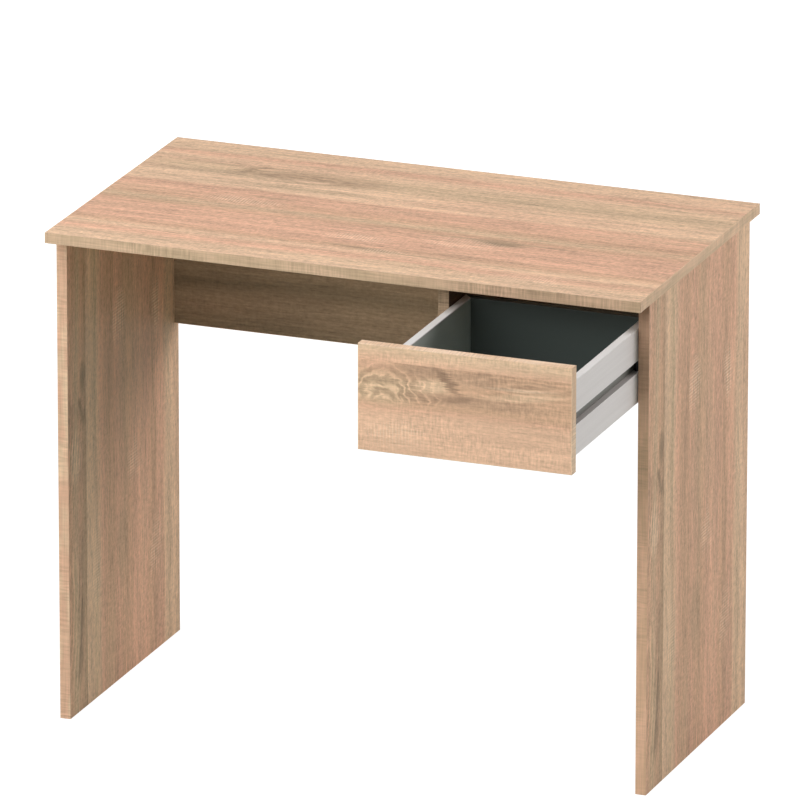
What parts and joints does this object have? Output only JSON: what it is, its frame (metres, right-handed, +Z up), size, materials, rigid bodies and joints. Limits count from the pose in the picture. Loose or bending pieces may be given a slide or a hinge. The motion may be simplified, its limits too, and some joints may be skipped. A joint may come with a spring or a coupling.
{
  "type": "computer desk",
  "caption": "Flat-pack computer desk of oak-look board: a top on panel legs, a back panel and a sliding drawer under the right end.",
  "frame": {"origin": "on the floor, under the middle of the top's width and depth", "axes": "+X to the right as the user sits, +Y to the rear, away from the user, +Z up"},
  "size_m": [0.9, 0.763, 0.745],
  "materials": {
    "oak_board": "oak-look laminated particle board, saw-cut grain, satin",
    "oak_band": "oak-look edge band, fine cross lines, satin",
    "grey_profile": "light grey plastic profile",
    "hardboard": "thin hardboard, lacquered dark grey above",
    "natural_plastic": "moulded natural plastic",
    "black_plastic": "moulded black plastic",
    "plated_steel": "zinc-plated steel",
    "cast_zinc": "die-cast zinc",
    "cap_plastic": "plastic cap in the board's colour",
    "beech": "turned beech"
  },
  "bodies": {
    "desk": {"top_panel": "oak_board", "side_panel_left": "oak_board", "side_panel_right": "oak_board", "back_panel": "oak_board", "divider_panel": "oak_board", "top_band_front": "oak_band", "top_band_rear": "oak_band", "top_band_left": "oak_band", "top_band_right": "oak_band", "side_band_front_left": "oak_band", "side_band_rear_left": "oak_band", "side_band_front_right": "oak_band", "side_band_rear_right": "oak_band", "back_band_lower": "oak_band", "divider_band_front": "oak_band", "divider_band_lower": "oak_band", "runner_left": "black_plastic", "runner_right": "black_plastic", "runner_screws": "plated_steel", "cam_locks": "cast_zinc", "cam_bolts": "plated_steel", "cam_caps": "cap_plastic", "dowels": "beech"},
    "drawer": {"drawer_front": "oak_board", "front_band_upper": "oak_band", "front_band_lower": "oak_band", "front_band_left": "oak_band", "front_band_right": "oak_band", "drawer_side_left": "grey_profile", "drawer_side_right": "grey_profile", "drawer_back": "grey_profile", "drawer_bottom": "hardboard", "drawer_plugs": "natural_plastic", "drawer_corner_inserts": "natural_plastic", "plug_screws": "plated_steel"}
  },
  "joints": [
    {"name": "drawer_slide", "type": "slide", "parent": "desk", "child": "drawer", "axis": [0, -1, 0], "range_m": [-0.2867, 0.03]}
  ]
}
